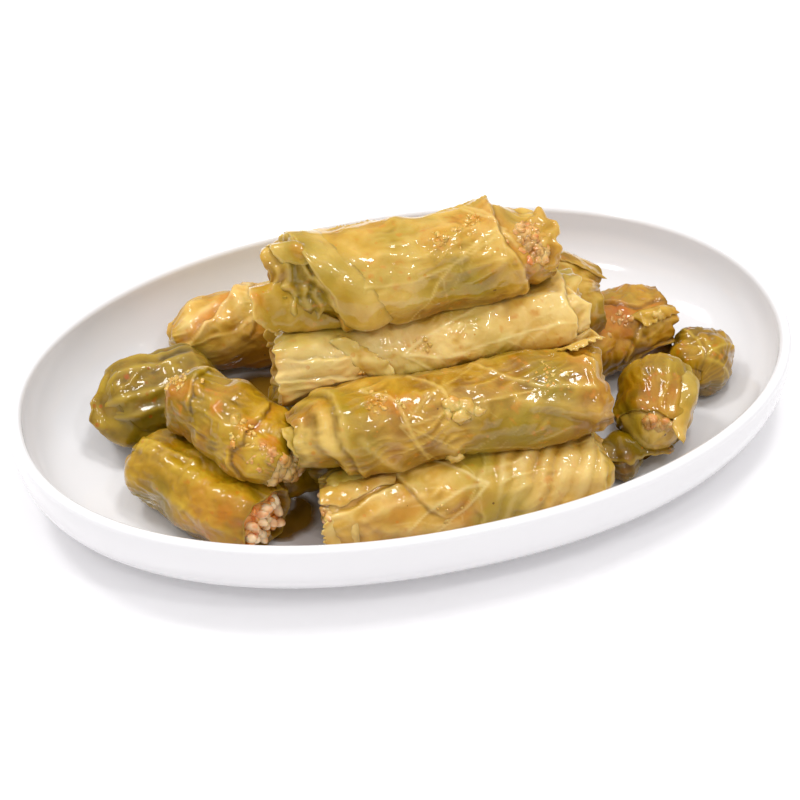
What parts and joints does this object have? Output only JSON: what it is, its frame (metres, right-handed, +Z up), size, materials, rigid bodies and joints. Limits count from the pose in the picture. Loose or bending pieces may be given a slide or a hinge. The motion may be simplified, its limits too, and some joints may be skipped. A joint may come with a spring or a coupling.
{
  "type": "stuffed cabbage roll platter",
  "caption": "Oval white platter heaped with boiled stuffed cabbage rolls, leaf-wrapped, some open at an end and showing rice filling.",
  "frame": {"origin": "middle of the platter's underside, on the surface that it stands on", "axes": "+Z up, +X along the platter's long side"},
  "size_m": [0.25, 0.1556, 0.0841],
  "materials": {
    "porcelain": "glossy white glaze",
    "leaf_cream": "wet boiled leaf, cream",
    "leaf_yellow": "wet boiled leaf, yellow",
    "leaf_olive": "wet boiled leaf, olive",
    "leaf_dark": "wet boiled leaf, dark olive",
    "leaf_brown": "wet boiled leaf, brown",
    "filling": "moist rice and meat"
  },
  "bodies": {
    "root": {"platter": "porcelain", "roll_front": "leaf_cream", "roll_upper": "leaf_cream", "roll_back_left": "leaf_cream", "roll_middle": "leaf_yellow", "roll_top": "leaf_yellow", "roll_back": "leaf_yellow", "roll_right_open": "leaf_yellow", "roll_left_open": "leaf_olive", "roll_left_over": "leaf_olive", "roll_under_front": "leaf_olive", "roll_under_back": "leaf_olive", "roll_right_green": "leaf_olive", "leaf_end_right": "leaf_olive", "roll_left_dark": "leaf_dark", "roll_right_brown": "leaf_brown", "filling_front": "filling", "filling_left_open": "filling", "filling_left_over": "filling", "filling_right_open": "filling", "filling_top": "filling"}
  },
  "joints": []
}
